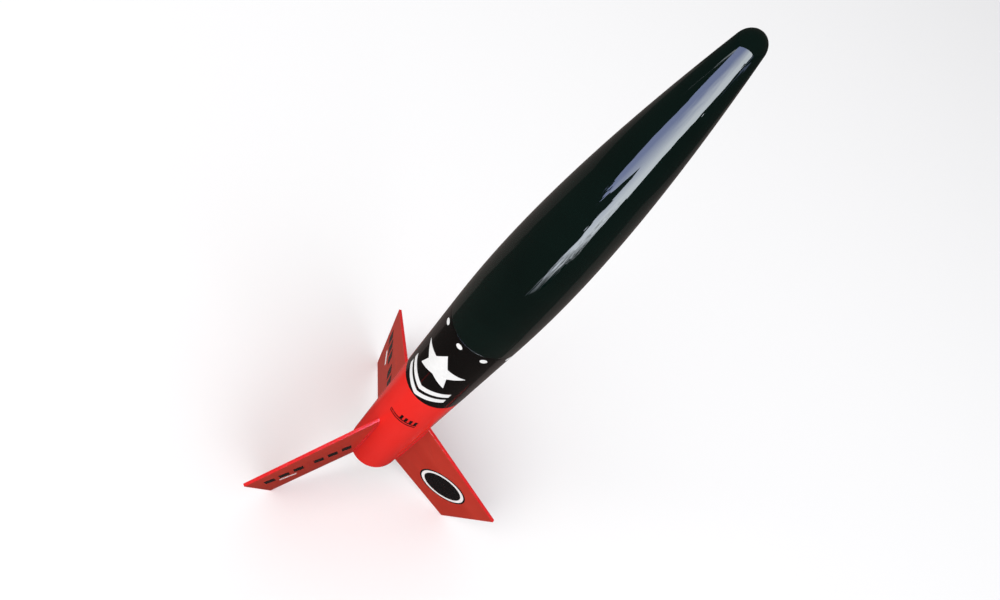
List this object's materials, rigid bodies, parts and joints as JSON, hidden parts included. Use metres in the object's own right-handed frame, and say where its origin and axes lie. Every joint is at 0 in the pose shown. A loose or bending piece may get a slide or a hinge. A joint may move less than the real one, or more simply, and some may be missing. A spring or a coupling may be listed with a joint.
{
  "type": "model rocket",
  "caption": "Flying model rocket with a cardboard body tube, swept fins, a long plastic nose cone, a replaceable motor behind a spring hook and a packed parachute.",
  "frame": {"origin": "centre of the body tube's aft end, on the rocket's axis", "axes": "+Z along the axis towards the nose, +X out through the first fin, +Y a quarter turn on from it"},
  "size_m": [0.1653, 0.1908, 0.458],
  "materials": {
    "tube_paint": "gloss lacquer over cardboard",
    "fin_paint": "gloss lacquer over balsa",
    "nose_plastic": "high gloss",
    "kraft_card": "matt",
    "white_paper": "matt",
    "tissue": "soft matt",
    "elastic": "woven over rubber",
    "spring_steel": "bare",
    "motor_paper": "matt, spiral wound",
    "clay": "dry, pressed",
    "powder": "pressed powder",
    "delay": "pressed powder",
    "decal_white": "thin gloss film",
    "decal_black": "thin gloss film",
    "canopy_film": "thin plastic film",
    "thread": "twisted cotton",
    "tape": "satin"
  },
  "bodies": {
    "airframe": {"body_tube": "tube_paint", "fin_1": "fin_paint", "fin_2": "fin_paint", "fin_3": "fin_paint", "launch_lug": "tube_paint", "motor_tube": "kraft_card", "thrust_ring": "kraft_card", "forward_centering_ring": "kraft_card", "aft_centering_ring": "kraft_card", "shock_cord_mount": "white_paper", "shock_cord": "elastic", "recovery_wadding": "tissue", "tube_emblem": "decal_white", "joint_dots": "decal_white", "tube_pinstripes": "decal_black", "fin_decals_black": "decal_black", "fin_decals_white": "decal_white"},
    "hook": {"engine_hook": "spring_steel"},
    "motor": {"motor_casing": "motor_paper", "motor_nozzle": "clay", "propellant_grain": "powder", "delay_grain": "delay", "ejection_charge": "powder", "motor_end_cap": "clay"},
    "nose": {"nose_cone": "nose_plastic", "nose_base": "nose_plastic"},
    "canopy": {"parachute": "canopy_film", "shroud_lines": "thread", "line_tapes": "tape"}
  },
  "joints": [
    {"name": "nose_slide", "type": "slide", "parent": "airframe", "child": "nose", "axis": [0, 0, 1], "range_m": [0, 0.16], "deforming": ["shock_cord"]},
    {"name": "canopy_slide", "type": "slide", "parent": "airframe", "child": "canopy", "axis": [0, 0, 1], "range_m": [0, 0.16]},
    {"name": "motor_slide", "type": "slide", "parent": "airframe", "child": "motor", "axis": [0, 0, 1], "range_m": [-0.0003, 0.0008]},
    {"name": "hook_flex", "type": "hinge", "parent": "airframe", "child": "hook", "pos_m": [0.0049, -0.00849, 0.064], "axis": [-0.866, -0.5, 0], "range_deg": [0, 4], "stiffness_Nm_per_rad": 0.5}
  ],
  "couplings": [
    {"joint": "canopy_slide", "follows": "nose_slide", "ratio": 1}
  ]
}
